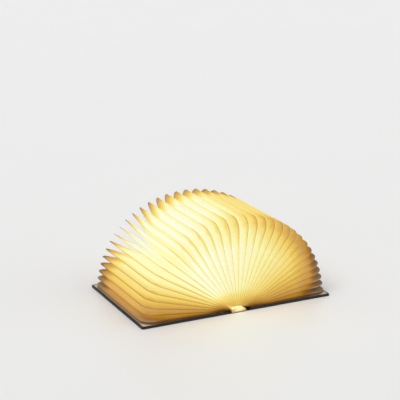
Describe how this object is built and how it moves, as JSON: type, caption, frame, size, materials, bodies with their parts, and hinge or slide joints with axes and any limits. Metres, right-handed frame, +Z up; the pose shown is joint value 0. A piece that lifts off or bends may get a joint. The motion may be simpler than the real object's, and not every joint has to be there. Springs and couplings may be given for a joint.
{
  "type": "folding book lamp",
  "caption": "Open hardback book whose fan of glowing paper pages spreads over a light bar along the spine; hinged covers fold it shut or right round.",
  "frame": {"origin": "on the resting surface, midway between the covers' ends and midway between the two hinge lines", "axes": "+X across the covers towards the right-hand cover, +Y along the spine towards the charging socket, +Z up"},
  "size_m": [0.341, 0.215, 0.1558],
  "materials": {
    "cover_skin": "satin",
    "book_board": "matte",
    "lining_paper": "matte",
    "page_paper": "matte",
    "nickel_plate": "satin",
    "white_plastic": "matte",
    "battery_foil": "satin",
    "lead_insulation": "satin",
    "green_board": "satin",
    "white_board": "satin",
    "steel": "satin",
    "black_plastic": "matte",
    "amber_plastic": "gloss",
    "led": "gloss",
    "opal_plastic": "satin"
  },
  "bodies": {
    "spine": {"spine_wrap": "cover_skin", "spine_board": "book_board", "module_tray": "white_plastic", "battery_cell": "battery_foil", "battery_leads": "lead_insulation", "control_board": "green_board", "board_screws": "steel", "board_connector": "black_plastic", "usb_socket": "steel", "charge_light": "amber_plastic", "led_board": "white_board", "led_chips": "led", "diffuser": "opal_plastic", "front_end_cap": "opal_plastic", "rear_end_cap": "opal_plastic", "page_middle": "page_paper"},
    "left_cover": {"left_cover_wrap": "cover_skin", "left_cover_board": "book_board", "left_lining": "lining_paper", "left_joint_cloth": "cover_skin", "left_cover_magnets": "nickel_plate", "end_page_left": "page_paper"},
    "right_cover": {"right_cover_wrap": "cover_skin", "right_cover_board": "book_board", "right_lining": "lining_paper", "right_joint_cloth": "cover_skin", "right_cover_magnets": "nickel_plate", "end_page_right": "page_paper"},
    "page_left_01": {"page_left_01": "page_paper"},
    "page_left_02": {"page_left_02": "page_paper"},
    "page_left_03": {"page_left_03": "page_paper"},
    "page_left_04": {"page_left_04": "page_paper"},
    "page_left_05": {"page_left_05": "page_paper"},
    "page_left_06": {"page_left_06": "page_paper"},
    "page_left_07": {"page_left_07": "page_paper"},
    "page_left_08": {"page_left_08": "page_paper"},
    "page_left_09": {"page_left_09": "page_paper"},
    "page_left_10": {"page_left_10": "page_paper"},
    "page_left_11": {"page_left_11": "page_paper"},
    "page_left_12": {"page_left_12": "page_paper"},
    "page_left_13": {"page_left_13": "page_paper"},
    "page_left_14": {"page_left_14": "page_paper"},
    "page_left_15": {"page_left_15": "page_paper"},
    "page_left_16": {"page_left_16": "page_paper"},
    "page_right_01": {"page_right_01": "page_paper"},
    "page_right_02": {"page_right_02": "page_paper"},
    "page_right_03": {"page_right_03": "page_paper"},
    "page_right_04": {"page_right_04": "page_paper"},
    "page_right_05": {"page_right_05": "page_paper"},
    "page_right_06": {"page_right_06": "page_paper"},
    "page_right_07": {"page_right_07": "page_paper"},
    "page_right_08": {"page_right_08": "page_paper"},
    "page_right_09": {"page_right_09": "page_paper"},
    "page_right_10": {"page_right_10": "page_paper"},
    "page_right_11": {"page_right_11": "page_paper"},
    "page_right_12": {"page_right_12": "page_paper"},
    "page_right_13": {"page_right_13": "page_paper"},
    "page_right_14": {"page_right_14": "page_paper"},
    "page_right_15": {"page_right_15": "page_paper"},
    "page_right_16": {"page_right_16": "page_paper"}
  },
  "joints": [
    {"name": "left_cover_hinge", "type": "hinge", "parent": "spine", "child": "left_cover", "pos_m": [-0.0125, 0, 0.0003], "axis": [0, 1, 0], "range_deg": [-94, 90]},
    {"name": "right_cover_hinge", "type": "hinge", "parent": "spine", "child": "right_cover", "pos_m": [0.0125, 0, 0.0003], "axis": [0, -1, 0], "range_deg": [-94, 90]},
    {"name": "page_left_01_fold", "type": "hinge", "parent": "spine", "child": "page_left_01", "pos_m": [-0.00074, 0, 0.0003], "axis": [0, 1, 0], "range_deg": [-6.67, 6.39]},
    {"name": "page_left_02_fold", "type": "hinge", "parent": "spine", "child": "page_left_02", "pos_m": [-0.00147, 0, 0.0003], "axis": [0, 1, 0], "range_deg": [-13.21, 12.64]},
    {"name": "page_left_03_fold", "type": "hinge", "parent": "spine", "child": "page_left_03", "pos_m": [-0.00221, 0, 0.0003], "axis": [0, 1, 0], "range_deg": [-19.59, 18.76]},
    {"name": "page_left_04_fold", "type": "hinge", "parent": "spine", "child": "page_left_04", "pos_m": [-0.00294, 0, 0.0003], "axis": [0, 1, 0], "range_deg": [-25.84, 24.74]},
    {"name": "page_left_05_fold", "type": "hinge", "parent": "spine", "child": "page_left_05", "pos_m": [-0.00368, 0, 0.0003], "axis": [0, 1, 0], "range_deg": [-31.94, 30.58]},
    {"name": "page_left_06_fold", "type": "hinge", "parent": "spine", "child": "page_left_06", "pos_m": [-0.00441, 0, 0.0003], "axis": [0, 1, 0], "range_deg": [-37.9, 36.29]},
    {"name": "page_left_07_fold", "type": "hinge", "parent": "spine", "child": "page_left_07", "pos_m": [-0.00515, 0, 0.0003], "axis": [0, 1, 0], "range_deg": [-43.72, 41.85]},
    {"name": "page_left_08_fold", "type": "hinge", "parent": "spine", "child": "page_left_08", "pos_m": [-0.00588, 0, 0.0003], "axis": [0, 1, 0], "range_deg": [-49.39, 47.29]},
    {"name": "page_left_09_fold", "type": "hinge", "parent": "spine", "child": "page_left_09", "pos_m": [-0.00662, 0, 0.0003], "axis": [0, 1, 0], "range_deg": [-54.92, 52.58]},
    {"name": "page_left_10_fold", "type": "hinge", "parent": "spine", "child": "page_left_10", "pos_m": [-0.00735, 0, 0.0003], "axis": [0, 1, 0], "range_deg": [-60.3, 57.74]},
    {"name": "page_left_11_fold", "type": "hinge", "parent": "spine", "child": "page_left_11", "pos_m": [-0.00809, 0, 0.0003], "axis": [0, 1, 0], "range_deg": [-65.55, 62.76]},
    {"name": "page_left_12_fold", "type": "hinge", "parent": "spine", "child": "page_left_12", "pos_m": [-0.00882, 0, 0.0003], "axis": [0, 1, 0], "range_deg": [-70.65, 67.64]},
    {"name": "page_left_13_fold", "type": "hinge", "parent": "spine", "child": "page_left_13", "pos_m": [-0.00956, 0, 0.0003], "axis": [0, 1, 0], "range_deg": [-75.6, 72.39]},
    {"name": "page_left_14_fold", "type": "hinge", "parent": "spine", "child": "page_left_14", "pos_m": [-0.01029, 0, 0.0003], "axis": [0, 1, 0], "range_deg": [-80.42, 77]},
    {"name": "page_left_15_fold", "type": "hinge", "parent": "spine", "child": "page_left_15", "pos_m": [-0.01103, 0, 0.0003], "axis": [0, 1, 0], "range_deg": [-85.09, 81.47]},
    {"name": "page_left_16_fold", "type": "hinge", "parent": "spine", "child": "page_left_16", "pos_m": [-0.01176, 0, 0.0003], "axis": [0, 1, 0], "range_deg": [-89.62, 85.8]},
    {"name": "page_right_01_fold", "type": "hinge", "parent": "spine", "child": "page_right_01", "pos_m": [0.00074, 0, 0.0003], "axis": [0, -1, 0], "range_deg": [-6.67, 6.39]},
    {"name": "page_right_02_fold", "type": "hinge", "parent": "spine", "child": "page_right_02", "pos_m": [0.00147, 0, 0.0003], "axis": [0, -1, 0], "range_deg": [-13.21, 12.64]},
    {"name": "page_right_03_fold", "type": "hinge", "parent": "spine", "child": "page_right_03", "pos_m": [0.00221, 0, 0.0003], "axis": [0, -1, 0], "range_deg": [-19.59, 18.76]},
    {"name": "page_right_04_fold", "type": "hinge", "parent": "spine", "child": "page_right_04", "pos_m": [0.00294, 0, 0.0003], "axis": [0, -1, 0], "range_deg": [-25.84, 24.74]},
    {"name": "page_right_05_fold", "type": "hinge", "parent": "spine", "child": "page_right_05", "pos_m": [0.00368, 0, 0.0003], "axis": [0, -1, 0], "range_deg": [-31.94, 30.58]},
    {"name": "page_right_06_fold", "type": "hinge", "parent": "spine", "child": "page_right_06", "pos_m": [0.00441, 0, 0.0003], "axis": [0, -1, 0], "range_deg": [-37.9, 36.29]},
    {"name": "page_right_07_fold", "type": "hinge", "parent": "spine", "child": "page_right_07", "pos_m": [0.00515, 0, 0.0003], "axis": [0, -1, 0], "range_deg": [-43.72, 41.85]},
    {"name": "page_right_08_fold", "type": "hinge", "parent": "spine", "child": "page_right_08", "pos_m": [0.00588, 0, 0.0003], "axis": [0, -1, 0], "range_deg": [-49.39, 47.29]},
    {"name": "page_right_09_fold", "type": "hinge", "parent": "spine", "child": "page_right_09", "pos_m": [0.00662, 0, 0.0003], "axis": [0, -1, 0], "range_deg": [-54.92, 52.58]},
    {"name": "page_right_10_fold", "type": "hinge", "parent": "spine", "child": "page_right_10", "pos_m": [0.00735, 0, 0.0003], "axis": [0, -1, 0], "range_deg": [-60.3, 57.74]},
    {"name": "page_right_11_fold", "type": "hinge", "parent": "spine", "child": "page_right_11", "pos_m": [0.00809, 0, 0.0003], "axis": [0, -1, 0], "range_deg": [-65.55, 62.76]},
    {"name": "page_right_12_fold", "type": "hinge", "parent": "spine", "child": "page_right_12", "pos_m": [0.00882, 0, 0.0003], "axis": [0, -1, 0], "range_deg": [-70.65, 67.64]},
    {"name": "page_right_13_fold", "type": "hinge", "parent": "spine", "child": "page_right_13", "pos_m": [0.00956, 0, 0.0003], "axis": [0, -1, 0], "range_deg": [-75.6, 72.39]},
    {"name": "page_right_14_fold", "type": "hinge", "parent": "spine", "child": "page_right_14", "pos_m": [0.01029, 0, 0.0003], "axis": [0, -1, 0], "range_deg": [-80.42, 77]},
    {"name": "page_right_15_fold", "type": "hinge", "parent": "spine", "child": "page_right_15", "pos_m": [0.01103, 0, 0.0003], "axis": [0, -1, 0], "range_deg": [-85.09, 81.47]},
    {"name": "page_right_16_fold", "type": "hinge", "parent": "spine", "child": "page_right_16", "pos_m": [0.01176, 0, 0.0003], "axis": [0, -1, 0], "range_deg": [-89.62, 85.8]}
  ],
  "couplings": [
    {"joint": "page_left_01_fold", "follows": "left_cover_hinge", "ratio": 0.071003},
    {"joint": "page_left_02_fold", "follows": "left_cover_hinge", "ratio": 0.14048},
    {"joint": "page_left_03_fold", "follows": "left_cover_hinge", "ratio": 0.20844},
    {"joint": "page_left_04_fold", "follows": "left_cover_hinge", "ratio": 0.27488},
    {"joint": "page_left_05_fold", "follows": "left_cover_hinge", "ratio": 0.33979},
    {"joint": "page_left_06_fold", "follows": "left_cover_hinge", "ratio": 0.40318},
    {"joint": "page_left_07_fold", "follows": "left_cover_hinge", "ratio": 0.46505},
    {"joint": "page_left_08_fold", "follows": "left_cover_hinge", "ratio": 0.5254},
    {"joint": "page_left_09_fold", "follows": "left_cover_hinge", "ratio": 0.58422},
    {"joint": "page_left_10_fold", "follows": "left_cover_hinge", "ratio": 0.64152},
    {"joint": "page_left_11_fold", "follows": "left_cover_hinge", "ratio": 0.6973},
    {"joint": "page_left_12_fold", "follows": "left_cover_hinge", "ratio": 0.75156},
    {"joint": "page_left_13_fold", "follows": "left_cover_hinge", "ratio": 0.80429},
    {"joint": "page_left_14_fold", "follows": "left_cover_hinge", "ratio": 0.8555},
    {"joint": "page_left_15_fold", "follows": "left_cover_hinge", "ratio": 0.90519},
    {"joint": "page_left_16_fold", "follows": "left_cover_hinge", "ratio": 0.95336},
    {"joint": "page_right_01_fold", "follows": "right_cover_hinge", "ratio": 0.071003},
    {"joint": "page_right_02_fold", "follows": "right_cover_hinge", "ratio": 0.14048},
    {"joint": "page_right_03_fold", "follows": "right_cover_hinge", "ratio": 0.20844},
    {"joint": "page_right_04_fold", "follows": "right_cover_hinge", "ratio": 0.27488},
    {"joint": "page_right_05_fold", "follows": "right_cover_hinge", "ratio": 0.33979},
    {"joint": "page_right_06_fold", "follows": "right_cover_hinge", "ratio": 0.40318},
    {"joint": "page_right_07_fold", "follows": "right_cover_hinge", "ratio": 0.46505},
    {"joint": "page_right_08_fold", "follows": "right_cover_hinge", "ratio": 0.5254},
    {"joint": "page_right_09_fold", "follows": "right_cover_hinge", "ratio": 0.58422},
    {"joint": "page_right_10_fold", "follows": "right_cover_hinge", "ratio": 0.64152},
    {"joint": "page_right_11_fold", "follows": "right_cover_hinge", "ratio": 0.6973},
    {"joint": "page_right_12_fold", "follows": "right_cover_hinge", "ratio": 0.75156},
    {"joint": "page_right_13_fold", "follows": "right_cover_hinge", "ratio": 0.80429},
    {"joint": "page_right_14_fold", "follows": "right_cover_hinge", "ratio": 0.8555},
    {"joint": "page_right_15_fold", "follows": "right_cover_hinge", "ratio": 0.90519},
    {"joint": "page_right_16_fold", "follows": "right_cover_hinge", "ratio": 0.95336}
  ]
}
